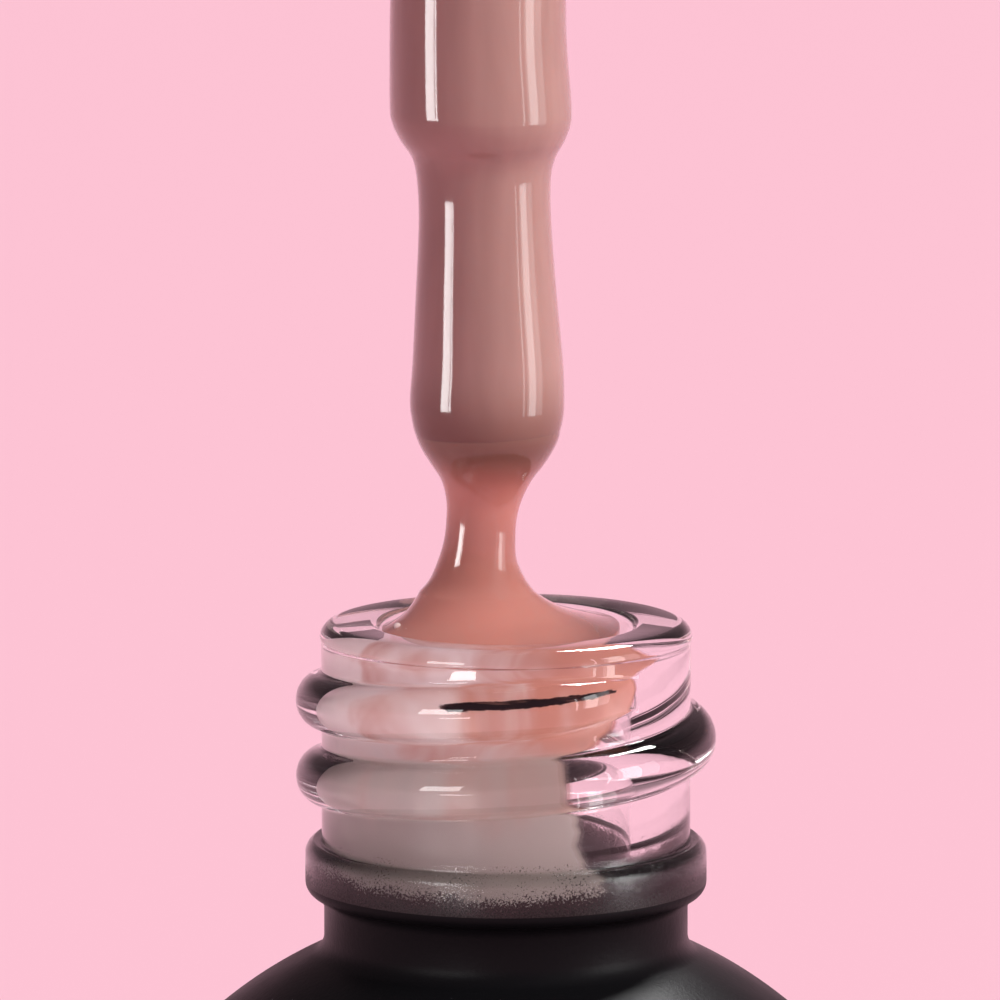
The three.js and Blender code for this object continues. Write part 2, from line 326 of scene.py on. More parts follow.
class Nodes:
    """A material's node tree with its Principled shader, and short calls to add procedural detail."""

    def __init__(self, name, color, roughness, **values):
        self.material = bpy.data.materials.new(name)
        self.material.use_nodes = True
        self.tree = self.material.node_tree
        self.shader = self.tree.nodes["Principled BSDF"]
        self.set("Base Color", (*color, 1.0))
        self.set("Roughness", roughness)
        for socket, value in values.items():
            self.set(socket.replace("_", " "), value)
        self.place = self.add("ShaderNodeTexCoord").outputs["Object"]

    def set(self, socket, value):
        self.shader.inputs[socket].default_value = value

    def add(self, kind, **values):
        node = self.tree.nodes.new(kind)
        for name, value in values.items():
            setattr(node, name, value)
        return node

    def link(self, output, target):
        self.tree.links.new(output, target)

    def noise(self, size_mm, detail=3.0, roughness=0.5, distortion=0.0, stretch=(1, 1, 1)):
        """Noise with lumps of that size. A number under 1 in stretch draws them out along its axis."""
        mapping = self.add("ShaderNodeMapping")
        mapping.inputs["Scale"].default_value = stretch
        self.link(self.place, mapping.inputs["Vector"])
        node = self.add("ShaderNodeTexNoise")
        node.inputs["Scale"].default_value = 1 / (size_mm * MM)
        node.inputs["Detail"].default_value = detail
        node.inputs["Roughness"].default_value = roughness
        node.inputs["Distortion"].default_value = distortion
        self.link(mapping.outputs["Vector"], node.inputs["Vector"])
        return node.outputs["Fac"]

    def math(self, operation, a, b=0.0):
        node = self.add("ShaderNodeMath", operation=operation)
        for socket, value in zip(node.inputs, (a, b)):
            if isinstance(value, (int, float)):
                socket.default_value = value
            else:
                self.link(value, socket)
        return node.outputs["Value"]

    def axis(self, name):
        node = self.add("ShaderNodeSeparateXYZ")
        self.link(self.place, node.inputs["Vector"])
        return node.outputs[name]

    def range(self, value, low, high, to_low=0.0, to_high=1.0):
        """Takes a value from low to high along an S curve to a number from to_low to to_high."""
        node = self.add("ShaderNodeMapRange", interpolation_type="SMOOTHSTEP")
        self.link(value, node.inputs["Value"])
        limits = {"From Min": low, "From Max": high, "To Min": to_low, "To Max": to_high}
        for name, number in limits.items():
            node.inputs[name].default_value = number
        return node.outputs["Result"]

    def attribute(self, name):
        return self.add("ShaderNodeAttribute", attribute_name=name).outputs["Fac"]

    def blend(self, factor, a, b):
        node = self.add("ShaderNodeMix", data_type="RGBA")
        self.link(factor, node.inputs["Factor"])
        # The Mix node's colours A and B are its sockets 6 and 7, and its colour result is socket 2.
        for socket, value in ((node.inputs[6], a), (node.inputs[7], b)):
            if isinstance(value, tuple):
                socket.default_value = (*value, 1.0)
            else:
                self.link(value, socket)
        return node.outputs[2]

    def bump(self, height, depth_mm, strength=1.0):
        node = self.add("ShaderNodeBump")
        node.inputs["Strength"].default_value = strength
        node.inputs["Distance"].default_value = depth_mm * MM
        self.link(height, node.inputs["Height"])
        self.link(node.outputs["Normal"], self.shader.inputs["Normal"])

    def to(self, output, socket):
        self.link(output, self.shader.inputs[socket])


POLISH = (0.24, 0.16, 0.14)
POLISH_WARM = (0.44, 0.185, 0.148)
POLISH_THIN = (0.60, 0.255, 0.205)
FILM_WARM = (0.52, 0.21, 0.155)
FILM_PALE = (0.79, 0.67, 0.655)
FILM_GREY = (0.35, 0.29, 0.265)
FILM_SPAN = 4.0  # millimetres that the film's colour takes to change
BLACK = (0.003, 0.003, 0.0035)


def clear_glass():
    """Clear glass, with a painted reflection: a dark streak with lighter flecks on the thread's upper
    flank.
    """
    n = Nodes("clear_glass", (1.0, 1.0, 1.0), 0.0, Transmission_Weight=1.0, IOR=1.5)
    broken = n.math("SUBTRACT", n.noise(0.55, detail=4.0, roughness=0.75, stretch=(1, 1, 3.5)), 0.5)
    # Painted reflection: the dark streak stands in for the dark inside of the bottle seen through the
    # thread's flank.
    painted_dark_streak = n.range(n.math("ADD", n.attribute("painted_dark_streak"), broken), 0.42, 0.78)
    flecks = n.range(n.noise(1.6, detail=2.0, stretch=(1, 1, 9)), 0.5, 0.7)
    painted_streak_color = n.blend(flecks, (0.008, 0.004, 0.005), (0.055, 0.026, 0.022))
    n.to(n.blend(n.range(painted_dark_streak, 0.0, 0.1), (1.0, 1.0, 1.0), painted_streak_color), "Base Color")
    n.to(n.math("SUBTRACT", 1.0, painted_dark_streak), "Transmission Weight")
    n.bump(n.noise(2.6, detail=1.0, stretch=(1, 1, 1.6)), 0.05, 0.3)
    return n.material


def oversprayed_glass():
    """Clear glass that fine black speckle closes over towards the painted shoulder."""
    n = Nodes("oversprayed_glass", BLACK, 0.1, IOR=1.5, Specular_IOR_Level=0.25)
    depth = n.axis("Z")
    tilted = n.math("SUBTRACT", depth, n.math("MULTIPLY", n.axis("Y"), 0.05))
    share = n.range(tilted, (RIM - 7.7) * MM, (RIM - 9.45) * MM)
    speckle = n.noise(0.07, detail=2.0, roughness=0.7)
    cloud = n.noise(1.3, detail=2.0)
    spread = n.math("ADD", n.math("MULTIPLY", speckle, 1.3), n.math("MULTIPLY", cloud, 0.4))
    covered = n.math("ADD", share, n.math("SUBTRACT", spread, 0.85))
    paint = n.range(covered, 0.05, 0.95)
    n.to(n.blend(n.range(paint, 0.0, 0.12), (1.0, 1.0, 1.0), (0.006, 0.004, 0.004)), "Base Color")
    n.to(n.math("SUBTRACT", 1.0, paint), "Transmission Weight")
    n.to(n.range(paint, 0.0, 1.0, 0.02, 0.42), "Roughness")
    n.bump(speckle, 0.03, 0.3)
    return n.material


def black_paint():
    n = Nodes("matte_black_paint", BLACK, 0.4, IOR=1.5, Specular_IOR_Level=0.075)
    grain = n.noise(0.18, detail=4.0, roughness=0.7)
    n.to(n.range(n.noise(4.0, detail=3.0), 0.3, 0.7, 0.33, 0.43), "Roughness")
    n.bump(grain, 0.02, 0.5)
    return n.material


def wetted_glass():
    """The bore's wall: clear where it is dry, and polish where the film wets it."""
    n = Nodes("wetted_glass", (1.0, 1.0, 1.0), 0.0, IOR=1.5)
    wet = n.attribute("wet")
    n.to(n.blend(n.range(wet, 0.0, 0.3), (1.0, 1.0, 1.0), film_color(n)), "Base Color")
    n.to(n.range(wet, 0.05, 0.9, 1.0, 0.0), "Transmission Weight")
    n.to(n.range(wet, 0.3, 1.0, 0.0, 0.3), "Roughness")
    return n.material


def film_color(n):
    """Salmon near the mouth, paler to the left, and greyer further down, in soft patches."""
    lumps = n.math("SUBTRACT", n.noise(2.8, detail=3.0, distortion=0.8), 0.5)
    per_span = 1 / (FILM_SPAN * MM)
    across = n.math("ADD", n.math("MULTIPLY", n.axis("X"), per_span), n.math("MULTIPLY", lumps, 3.4))
    top = n.blend(n.range(across, -1.4, 0.3), FILM_PALE, FILM_WARM)
    down = n.math("ADD", n.math("MULTIPLY", n.axis("Z"), per_span), lumps)
    grey = n.range(down, (RIM - 2.5) / FILM_SPAN, (RIM - 7.0) / FILM_SPAN)
    return n.blend(grey, top, FILM_GREY)


def film_polish():
    n = Nodes("film_polish", POLISH, 0.12, IOR=1.48)
    n.to(film_color(n), "Base Color")
    n.bump(n.noise(1.4, detail=1.0), 0.08, 0.4)
    return n.material


def wet_polish():
    """Thick wet lacquer: warmer and lighter where the strand is thin, with painted shade low on the coat.
    """
    n = Nodes(
        "wet_polish",
        POLISH,
        0.09,
        IOR=1.48,
        Specular_IOR_Level=0.2,
        Subsurface_Weight=0.35,
        Subsurface_Radius=(1.0, 0.4, 0.3),
        Subsurface_Scale=0.6 * MM,
        Coat_Weight=0.45,
        Coat_Roughness=0.04,
        Coat_IOR=1.5,
    )
    streaks = n.noise(1.5, detail=3.0, distortion=0.4, stretch=(1, 1, 0.2))
    base = n.blend(n.range(streaks, 0.3, 0.7), (0.315, 0.190, 0.160), (0.360, 0.222, 0.187))
    # Painted shade: the base turns a darker brown towards the coat's lower end, standing in for less
    # light on its underside.
    low = n.range(n.axis("Z"), (RIM + 9.5) * MM, (RIM + 6.2) * MM)
    base = n.blend(low, base, (0.185, 0.09, 0.068))
    thin = n.range(n.axis("Z"), (RIM + 6.3) * MM, (RIM + 4.6) * MM)
    foot = n.range(n.axis("Z"), (RIM + 1.9) * MM, (RIM + 0.3) * MM)
    n.to(n.blend(foot, n.blend(thin, base, POLISH_WARM), POLISH_THIN), "Base Color")
    drawn = n.range(n.axis("Z"), (RIM + 4.2) * MM, (RIM + 2.9) * MM, 0.0, 0.25)
    to_right = n.range(n.axis("X"), 1.6 * MM, 4.2 * MM, 0.0, 0.45)
    near_mouth = n.range(n.axis("Z"), (RIM + 2.5) * MM, (RIM + 1.0) * MM)
    n.to(n.math("ADD", drawn, n.math("MULTIPLY", to_right, near_mouth)), "Transmission Weight")
    n.bump(n.noise(4.0, detail=1.0, stretch=(1, 1, 0.3)), 0.10, 0.2)
    return n.material


def black_plastic(name, roughness, grain_mm):
    n = Nodes(name, (0.006, 0.006, 0.007), roughness, IOR=1.5, Specular_IOR_Level=0.16)
    n.to(n.range(n.noise(5.0, detail=3.0), 0.3, 0.7, roughness - 0.04, roughness + 0.05), "Roughness")
    n.bump(n.noise(grain_mm, detail=3.0, roughness=0.6), 0.015, 0.45)
    return n.material


def bristle_nylon():
    n = Nodes("bristle_nylon", (0.03, 0.022, 0.025), 0.35)
    strands = n.noise(0.8, stretch=(1, 1, 0.1))
    n.to(n.blend(strands, (0.02, 0.015, 0.018), (0.06, 0.035, 0.036)), "Base Color")
    return n.material


def polished_steel():
    n = Nodes("polished_steel", (0.62, 0.62, 0.64), 0.16, Metallic=1.0)
    n.to(n.range(n.noise(0.5, detail=4.0), 0.3, 0.7, 0.1, 0.24), "Roughness")
    return n.material


def liner_foam():
    n = Nodes("liner_foam", (0.80, 0.78, 0.74), 0.75)
    cells = n.noise(0.22, detail=3.0, roughness=0.7)
    n.to(n.blend(cells, (0.72, 0.69, 0.65), (0.85, 0.83, 0.79)), "Base Color")
    n.bump(cells, 0.04, 0.6)
    return n.material


def label_paper():
    n = Nodes("label_paper", (0.62, 0.58, 0.55), 0.6)
    fibres = n.noise(0.4, detail=4.0, distortion=1.0)
    n.to(n.blend(fibres, (0.58, 0.54, 0.51), (0.68, 0.64, 0.61)), "Base Color")
    n.bump(fibres, 0.01, 0.4)
    return n.material


def floor_card():
    n = Nodes("floor_card", (0.95, 0.578, 0.684), 0.85, Specular_IOR_Level=0.1)
    n.bump(n.noise(1.2, detail=3.0), 0.02, 0.2)
    return n.material


glass = clear_glass()
sprayed = oversprayed_glass()
paint = black_paint()
wetted = wetted_glass()
film_material = film_polish()
polish = wet_polish()
cap_black = black_plastic("satin_black_cap", 0.38, 0.25)
inner_black = black_plastic("moulded_black_cap", 0.5, 0.4)
stem_black = black_plastic("stem_plastic_black", 0.35, 0.3)
nylon = bristle_nylon()
steel = polished_steel()
foam = liner_foam()
paper = label_paper()

# ---- Film of polish on the bore ----

# Depth below the rim, and the edge's place in degrees to the right of the front.
FILM_RIGHT_EDGE = [(0.3, 78), (1.6, 64), (2.8, 49), (5.2, 28), (7.0, 33), (9.0, 43), (12.0, 60)]
FILM_BACK_EDGE = [(0.3, -205), (3.0, -178), (6.0, -165), (9.0, -185), (12.0, -200)]
FILM_TOP = 0.3
FILM_BOTTOM = 12.0
FILM_SOFT = 9  # degrees in which its edge goes from dry to wet
FILM_THIN = 0.6  # where it is less wet than this, the film is only a stain on the glass


def film_edges(depth):
    """The wet part's right and back edges on the bore, in degrees to the right of the front."""
    right = level(FILM_RIGHT_EDGE, depth)
    back = level(FILM_BACK_EDGE, depth)
    right += 7 * wander(depth, 3.1, 0.0, 0.9) + 3 * wander(depth, 8.1, 0.0, 0.3)
    back += 9 * wander(depth, 5.7, 0.0, 1.1)
    return right, back


def wetness(angle, depth):
    """From 0, dry, to 1, wet, at an angle in radians and a depth below the rim."""
    right, back = film_edges(depth)
    degrees = (math.degrees(angle) - 270 - right) % 360 - 360 + right
    inside = min(right - degrees, degrees - back)
    top = (depth - 0.35 - 0.15 * wander(3 * math.cos(angle), 3 * math.sin(angle), 0.0, 1.4)) * 30
    return smooth(min(inside, top) / FILM_SOFT)


# ---- Bottle ----


def thread_painted_dark_streak(angle, depth):
    """How much painted dark reflection lies on the upper flank of the thread's first turn, from 0 to 1.
    """
    degrees = (math.degrees(angle) + 90 + 180) % 360 - 180
    middle = THREAD_TOP_DEPTH + PITCH * (math.degrees(THREAD_TOP_ANGLE) - 270 - degrees) / 360
    # From 0 at the middle of the ridge to 1 at its upper foot.
    up = (middle - depth) / THREAD_HALF
    ends = smooth((degrees + 24) / 12) * smooth((48 - degrees) / 16)
    along = smooth(degrees / 38)
    low = mix(0.12, 0.18, along)
    high = mix(0.64, 0.54, along)
    return ends * smooth((up - low) / 0.26) * smooth((high - up) / 0.2)


def fillet_at_shoulder(wall_r, shoulder_r, fillet_r):
    """The centre of the fillet between an upright wall and the shoulder, and the angle where it ends."""
    x = wall_r + fillet_r
    rise = math.sqrt((shoulder_r + fillet_r) ** 2 - x * x)
    return x, SHOULDER_Z + rise, math.degrees(math.atan2(rise, x))


SHELL_MATERIALS = [glass, sprayed, paint, wetted]


def make_bottle():
    """The glass shell: neck and thread, lip, bore, inside, bead, and the painted outside."""
    bm = bmesh.new()
    bead_top = RIM - BEAD_DEPTH + BEAD_HALF + 0.3
    lip_z = RIM - LIP_DEPTH
    section = ridge_section(THREAD_HALF, THREAD_RISE, THREAD_FILLET_R, PITCH / 2, 22)
    top_z = RIM - THREAD_TOP_DEPTH
    threaded_wall(bm, NECK_R, bead_top, lip_z, section, THREAD_TOP_ANGLE, top_z, THREAD_TURNS, 1)

    lip = [(NECK_R, lip_z), (LIP_R - 0.02, lip_z + 0.03), (LIP_R, lip_z + 0.08)]
    r = LIP_OUTER_CORNER_R
    lip += arc(LIP_R - r, RIM - r, r, 0, 88, 14)
    lip += [(5.5, RIM - 0.01)]
    r = LIP_INNER_CORNER_R
    lip += arc(BORE_R + r, LIP_INNER_CORNER_Z, r, 92, 180, 12)
    turned(bm, lip)

    x, z, meeting = fillet_at_shoulder(BORE_R, BODY_R - WALL, BORE_CORNER_R)
    count = 90
    bore = [(BORE_R, mix(LIP_INNER_CORNER_Z, z, i / count)) for i in range(count + 1)]
    turned(bm, bore, material=SHELL_MATERIALS.index(wetted))

    inside_r = BODY_R - WALL
    inside = arc(x, z, BORE_CORNER_R, 180, 180 + meeting, 10)
    inside += arc(0, SHOULDER_Z, inside_r, meeting, 0, 40)
    inside += arc(inside_r - FLOOR_CORNER_R, FLOOR_Z + FLOOR_CORNER_R, FLOOR_CORNER_R, 0, -90, 12)
    inside += [(0.0, FLOOR_Z)]
    turned(bm, inside)

    bead_r = NECK_R + BEAD_RISE
    upper = RIM - BEAD_DEPTH + BEAD_HALF
    lower = RIM - BEAD_DEPTH - BEAD_HALF
    corner_r = bead_r - BEAD_CORNER_R
    bead = [(NECK_R, bead_top)]
    bead += arc(NECK_R + BEAD_FILLET_R, upper + 0.1, BEAD_FILLET_R, 180, 245, 5)
    bead += arc(corner_r, upper - 0.42, BEAD_CORNER_R, 70, 0, 10)
    bead += [(bead_r, lower + 0.42)]
    turned(bm, bead, material=SHELL_MATERIALS.index(sprayed))
    foot = arc(corner_r, lower + 0.42, BEAD_CORNER_R, 0, -75, 10)
    foot += [(NECK_R + 0.06, lower - 0.12), (NECK_R, lower - 0.3), (NECK_FOOT_R, lower - 0.45)]
    turned(bm, foot, material=SHELL_MATERIALS.index(paint))

    x, z, meeting = fillet_at_shoulder(NECK_FOOT_R, BODY_R, NECK_FILLET_R)
    outside = [(NECK_FOOT_R, lower - 0.45)]
    outside += arc(x, z, NECK_FILLET_R, 180, 180 + meeting, 12)
    outside += arc(0, SHOULDER_Z, BODY_R, meeting, 0, 60)
    outside += arc(BODY_R - HEEL_R, HEEL_R, HEEL_R, 0, -90, 14)
    outside += arc(PUNT_R + 0.3, 0.3, 0.3, -90, -150, 4)
    outside += [(PUNT_R - 0.9, PUNT_DEPTH - 0.15), (PUNT_R - 1.3, PUNT_DEPTH), (0.0, PUNT_DEPTH)]
    turned(bm, outside, material=SHELL_MATERIALS.index(paint))

    obj = new_object("bottle_shell", bm, SHELL_MATERIALS, "bottle", ["bottle_glass"])
    wet = obj.data.attributes.new("wet", "FLOAT", "POINT")
    # The second attribute carries the painted dark reflection on the thread's upper flank.
    painted_dark_streak = obj.data.attributes.new("painted_dark_streak", "FLOAT", "POINT")
    for vertex, wet_value, painted_streak_value in zip(obj.data.vertices, wet.data, painted_dark_streak.data):
        place = vertex.co / MM
        angle = math.atan2(place.y, place.x)
        r = math.hypot(place.x, place.y)
        if r < BORE_R + 0.02:
            wet_value.value = wetness(angle, RIM - place.z)
        elif NECK_R + 0.3 < r < NECK_R + THREAD_RISE + 0.05:
            painted_streak_value.value = thread_painted_dark_streak(angle, RIM - place.z)


def make_film():
    """The polish that clings to the bore: a skin that thins out at its ragged edge."""
    bm = bmesh.new()
    sides = 240
    rows = 120
    skin = {}

    def place(i, k, inner):
        a = TAU * i / sides
        depth = mix(FILM_TOP, FILM_BOTTOM, k / rows)
        wet = wetness(a, depth)
        thick = 0.03 + wet * (0.17 + 0.09 * wander(4.4 * math.cos(a), 4.4 * math.sin(a), depth, 2.0))
        r = BORE_R - 0.02 - (thick if inner else 0.0)
        return r * math.cos(a), r * math.sin(a), RIM - depth

    def vertex(i, k, inner):
        key = (i % sides, k, inner)
        if key not in skin:
            skin[key] = bm.verts.new(place(*key))
        return skin[key]

    def is_wet(i, k):
        if not 0 <= k < rows:
            return False
        depth = mix(FILM_TOP, FILM_BOTTOM, (k + 0.5) / rows)
        return wetness(TAU * (i % sides + 0.5) / sides, depth) > FILM_THIN

    wet_cells = {(i, k) for i in range(sides) for k in range(rows) if is_wet(i, k)}
    for i, k in sorted(wet_cells):
        corners = [(i, k), (i + 1, k), (i + 1, k + 1), (i, k + 1)]
        for inner in (False, True):
            bm.faces.new([vertex(a, b, inner) for a, b in corners])
        neighbours = [(i, k - 1), (i + 1, k), (i, k + 1), (i - 1, k)]
        for (a, b), start, end in zip(neighbours, corners, corners[1:] + corners[:1]):
            if (a % sides, b) not in wet_cells:
                outer = [vertex(*start, False), vertex(*end, False)]
                bm.faces.new([*outer, vertex(*end, True), vertex(*start, True)])
    stands_for = ["polish_neck_film"]
    new_object("neck_film", bm, [film_material], "bottle", stands_for, merge=0)


def make_pool():
    """The polish in the body, with a raised edge where it climbs the glass."""
    bm = bmesh.new()
    r = BODY_R - WALL - 0.05
    bottom = FLOOR_Z + 0.05
    top_r = math.sqrt(r * r - (POOL_TOP + 0.5 - SHOULDER_Z) ** 2)
    top_angle = math.degrees(math.asin((POOL_TOP + 0.5 - SHOULDER_Z) / r))
    profile = [(0.0, bottom)]
    profile += arc(r - FLOOR_CORNER_R, bottom + FLOOR_CORNER_R, FLOOR_CORNER_R, -90, 0, 10)
    profile += arc(0, SHOULDER_Z, r, 0, top_angle, 12)
    meniscus = [(top_r, POOL_TOP + 0.5), (top_r - 0.5, POOL_TOP + 0.12)]
    meniscus += [(top_r - 1.6, POOL_TOP), (0.0, POOL_TOP)]
    profile += curve_through(meniscus, 5)[1:]
    turned(bm, profile, sides=96)
    new_object("polish_pool", bm, [polish], "bottle", ["polish_fill"])


def make_balls():
    for i, (low, high) in enumerate(ball_boxes):
        bm = bmesh.new()
        bmesh.ops.create_icosphere(bm, subdivisions=4, radius=(high.z - low.z) / 2 / MM)
        bmesh.ops.translate(bm, verts=bm.verts, vec=(low + high) / 2 / MM)
        name = f"steel_ball_{i + 1}"
        new_object(name, bm, [steel], "bottle", [f"mixing_ball_{i + 1}"])


def make_label():
    bm = bmesh.new()
    r = label_high.x / MM
    low = label_low.z / MM
    high = label_high.z / MM
    edge = (high - low) / 3
    profile = [(0.0, low), (r - edge, low), (r, low + edge)]
    profile += [(r, high - edge), (r - edge, high), (0.0, high)]
    turned(bm, profile, sides=96)
    new_object("foot_label", bm, [paper], "bottle", ["base_label"])


# ---- Strand and coat of polish ----

# Height above the rim, distance of the middle from the neck's axis, and radius.
COAT_SHAPE = [
    (6.1, -0.64, 2.22),
    (6.6, -0.65, 2.50),
    (7.2, -0.65, 2.65),
    (7.9, -0.66, 2.70),
    (9.3, -0.64, 2.63),
    (12.1, -0.70, 2.44),
    (14.3, -0.74, 2.31),
    (15.7, -0.77, 2.35),
    (16.4, -0.77, 2.52),
    (17.0, -0.81, 2.88),
    (17.6, -0.85, 3.12),
    (18.3, -0.89, 3.17),
    (20.7, -0.97, 3.09),
    (23.5, -0.95, 3.03),
    (27.0, -0.85, 2.92),
    (30.0, -0.80, 2.74),
    (COAT_TOP_H, -0.80, 2.56),
]
STRAND_SHAPE = [
    (1.05, -1.02, 2.02),
    (1.5, -1.0, 1.68),
    (2.2, -1.0, 1.38),
    (2.9, -0.92, 1.26),
    (3.6, -0.86, 1.24),
    (4.3, -0.77, 1.33),
    (5.0, -0.68, 1.59),
    (5.6, -0.64, 2.00),
    (6.1, -0.64, 2.31),
    (6.5, -0.64, 2.49),
    (6.8, -0.65, 2.56),
    (7.0, -0.65, 2.57),
]


def round_rings(bm, spine, sides, wobble=None):
    """Rings of (height, middle, radius) as vertices. A radius of 0 makes one vertex."""
    rings = []
    for h, x, r in spine:
        ring = []
        for i in range(1 if r < 1e-9 else sides):
            a = TAU * i / sides
            rr = r + (wobble(a, h) if wobble else 0.0)
            ring.append(bm.verts.new((x + rr * math.cos(a), rr * math.sin(a), RIM + h)))
        rings.append(ring)
    return rings


def make_coat():
    """The polish on the bristles and stem. It is a skin, open inside where they are."""
    bm = bmesh.new()
    sides = 128

    def ripple(a, h):
        edge = smooth((h - COAT_TOP_H + 2.5) / 2.5)
        return 0.02 * wander(2 * math.cos(a), 2 * math.sin(a), h, 3.0) * (1 - edge)

    outside = curve_through(COAT_SHAPE, 8)
    tip = [(5.7, -0.65, 0.0), (5.75, -0.65, 0.9), (5.88, -0.65, 1.6)]
    rings = round_rings(bm, tip + outside, sides, ripple)
    hole = STEM_R + 0.01
    # The hollow that holds the stem and the bristles.
    inner = [
        (COAT_TOP_H, BRUSH_X, hole),
        (STEM_END_H - 0.05, BRUSH_X, hole),
        (STEM_END_H - 0.15, BRUSH_X, 2.0),
        (12.0, BRUSH_X, 1.95),
        (8.0, BRUSH_X, 2.15),
        (6.9, BRUSH_X, 1.7),
        (6.5, BRUSH_X, 0.0),
    ]
    rings += round_rings(bm, inner, sides)
    # The coat's upper edge is uneven, as wet polish leaves it.
    ragged = len(tip) + len(outside)
    for ring, share in ((rings[ragged - 1], 1.0), (rings[ragged], 1.0), (rings[ragged - 2], 0.8)):
        for i, v in enumerate(ring):
            a = TAU * i / sides
            drop = 1.3 * wander(1.6 * math.cos(a), 1.6 * math.sin(a), 0.0, 1.3) - 0.7
            v.co.z += share * drop
    for low, high in zip(rings, rings[1:]):
        join_rings(bm, low, high)
    new_object("coat", bm, [polish], "cap", ["polish_coat"])


def foot_reach(a, x):
    """From the strand's middle to its foot's edge: the bore's wall, or a straighter edge on the right."""
    wall = BORE_R - 0.04
    edge_x = 4.25
    blend = 1.2
    cos = math.cos(a)
    sin = math.sin(a)
    to_wall = -x * cos + math.sqrt(wall * wall - (x * sin) ** 2)
    if cos <= 0.05:
        return to_wall
    to_edge = (edge_x - x) / cos
    # The smaller of the two, with a soft change from one to the other.
    near = clamp(0.5 + 0.5 * (to_edge - to_wall) / blend)
    return mix(to_edge, to_wall, near) - blend * near * (1 - near)


def make_strand():
    """Polish that hangs between the brush and the mouth, where it spreads and closes most of the bore."""
    bm = bmesh.new()
    sides = 192
    neck = curve_through(STRAND_SHAPE, 8)
    start_h, start_x, start_r = neck[0]
    rings = []
    # Inside the coat the strand begins as a cup, so that no step shows where the two meet.
    cup = [(5.85, -0.65, 0.0), (5.9, -0.65, 1.2), (6.2, -0.65, 1.9), (6.95, -0.65, 2.3)]
    for h, x, r in cup + neck[::-1]:
        rings += round_rings(bm, [(h, x, r)], sides)
    # Share of the way to the foot's edge, and height above the rim.
    slope = [(0.0, start_h), (0.17, 0.66), (0.4, 0.27), (0.65, 0.0), (0.88, -0.18), (1.0, -0.24)]
    spread = curve_through(slope, 5)[1:]
    under = [(1.0, -0.5), (0.99, -0.9), (0.95, -1.15), (0.8, -1.35), (0.5, -1.5), (0.2, -1.6)]

    def foot_ring(inner_r, share, h):
        ring = []
        for i in range(sides):
            a = TAU * i / sides
            r = mix(inner_r, foot_reach(a, start_x), share)
            rise = 0.08 * smooth(math.cos(a) * 1.4) * smooth(share * 1.5)
            ring.append(bm.verts.new((start_x + r * math.cos(a), r * math.sin(a), RIM + h + rise)))
        return ring

    rings += [foot_ring(start_r, share, h) for share, h in spread]
    rings += [foot_ring(0.0, share, h) for share, h in under]
    rings.append([bm.verts.new((start_x, 0.0, RIM - 1.8))])
    for low, high in zip(rings, rings[1:]):
        join_rings(bm, low, high)
    strand = new_object("strand", bm, [polish], "bottle", ["polish_strand"])
    sink_with_brush(strand)


def sink_with_brush(obj):
    """Gives a piece a mesh of its own."""
    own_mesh(obj)


# Place from the neck's axis, height above the rim, and radius.
BUBBLES = [
    (-3.80, -1.0, -0.02, 0.13),
    (-3.45, -1.6, -0.08, 0.10),
    (-3.05, -1.9, -0.06, 0.12),
    (-3.55, 0.6, 0.02, 0.09),
    (-2.2, -2.7, -0.1, 0.08),
]


def make_bubbles():
    """Small air bubbles that sit in the polish where it meets the mouth."""
    bm = bmesh.new()
    for x, y, h, r in BUBBLES:
        made = bmesh.ops.create_icosphere(bm, subdivisions=3, radius=r)
        bmesh.ops.translate(bm, verts=made["verts"], vec=(x, y, RIM + h))
    bubbles = new_object("film_bubbles", bm, [film_material], "bottle")
    sink_with_brush(bubbles)


# ---- Brush ----

TUFT_LENGTH = 13.2
TUFT_HELD_R = 1.42
FILAMENT_R = 0.075
FILAMENT_SIDES = 6
FILAMENT_STEPS = 12


def make_bristles():
    """Nylon filaments in rings, held in the stem's end and pressed together towards the tip."""
    random.seed(11)
    bm = bmesh.new()
    root = RIM + STEM_END_H + TUFT_HELD
    spots = [(0.0, 0.0)]
    for ring, count in enumerate((6, 12, 18, 24, 28)):
        for i in range(count):
            spots.append(((ring + 1) / 5, TAU * (i + 0.5 * (ring % 2)) / count))
    for share, a in spots:
        length = TUFT_LENGTH + random.uniform(-0.45, 0.35) - 0.5 * share * share
        turn_by = random.uniform(-0.05, 0.05)
        held = TUFT_HELD / length
        spread = [(0.0, TUFT_HELD_R), (held, TUFT_HELD_R), (0.6, 1.75), (0.9, 1.8), (1.0, 1.45)]
        rings = []
        for k in range(FILAMENT_STEPS + 1):
            t = k / FILAMENT_STEPS
            out = share * level(spread, t)
            turn_a = a + turn_by * t
            x = BRUSH_X + out * math.cos(turn_a)
            middle = Vector((x, out * math.sin(turn_a), root - t * length))
            r = FILAMENT_R * (1 - 0.55 * smooth((k - 9) / 3))
            ring = []
            for i in range(FILAMENT_SIDES):
                b = TAU * i / FILAMENT_SIDES
                ring.append(bm.verts.new(middle + Vector((r * math.cos(b), r * math.sin(b), 0))))
            if k == 0:
                rings.append([bm.verts.new(middle + Vector((0, 0, 0.03)))])
            rings.append(ring)
        rings.append([bm.verts.new(middle - Vector((0, 0, 0.1)))])
        for low, high in zip(rings, rings[1:]):
            join_rings(bm, low, high)
    new_object("bristles", bm, [nylon], "cap", ["bristle_tuft"], merge=0)


STAPLE_HALF = 1.25
STAPLE_WIRE_R = 0.24
STAPLE_STEPS = 24
STAPLE_SIDES = 12


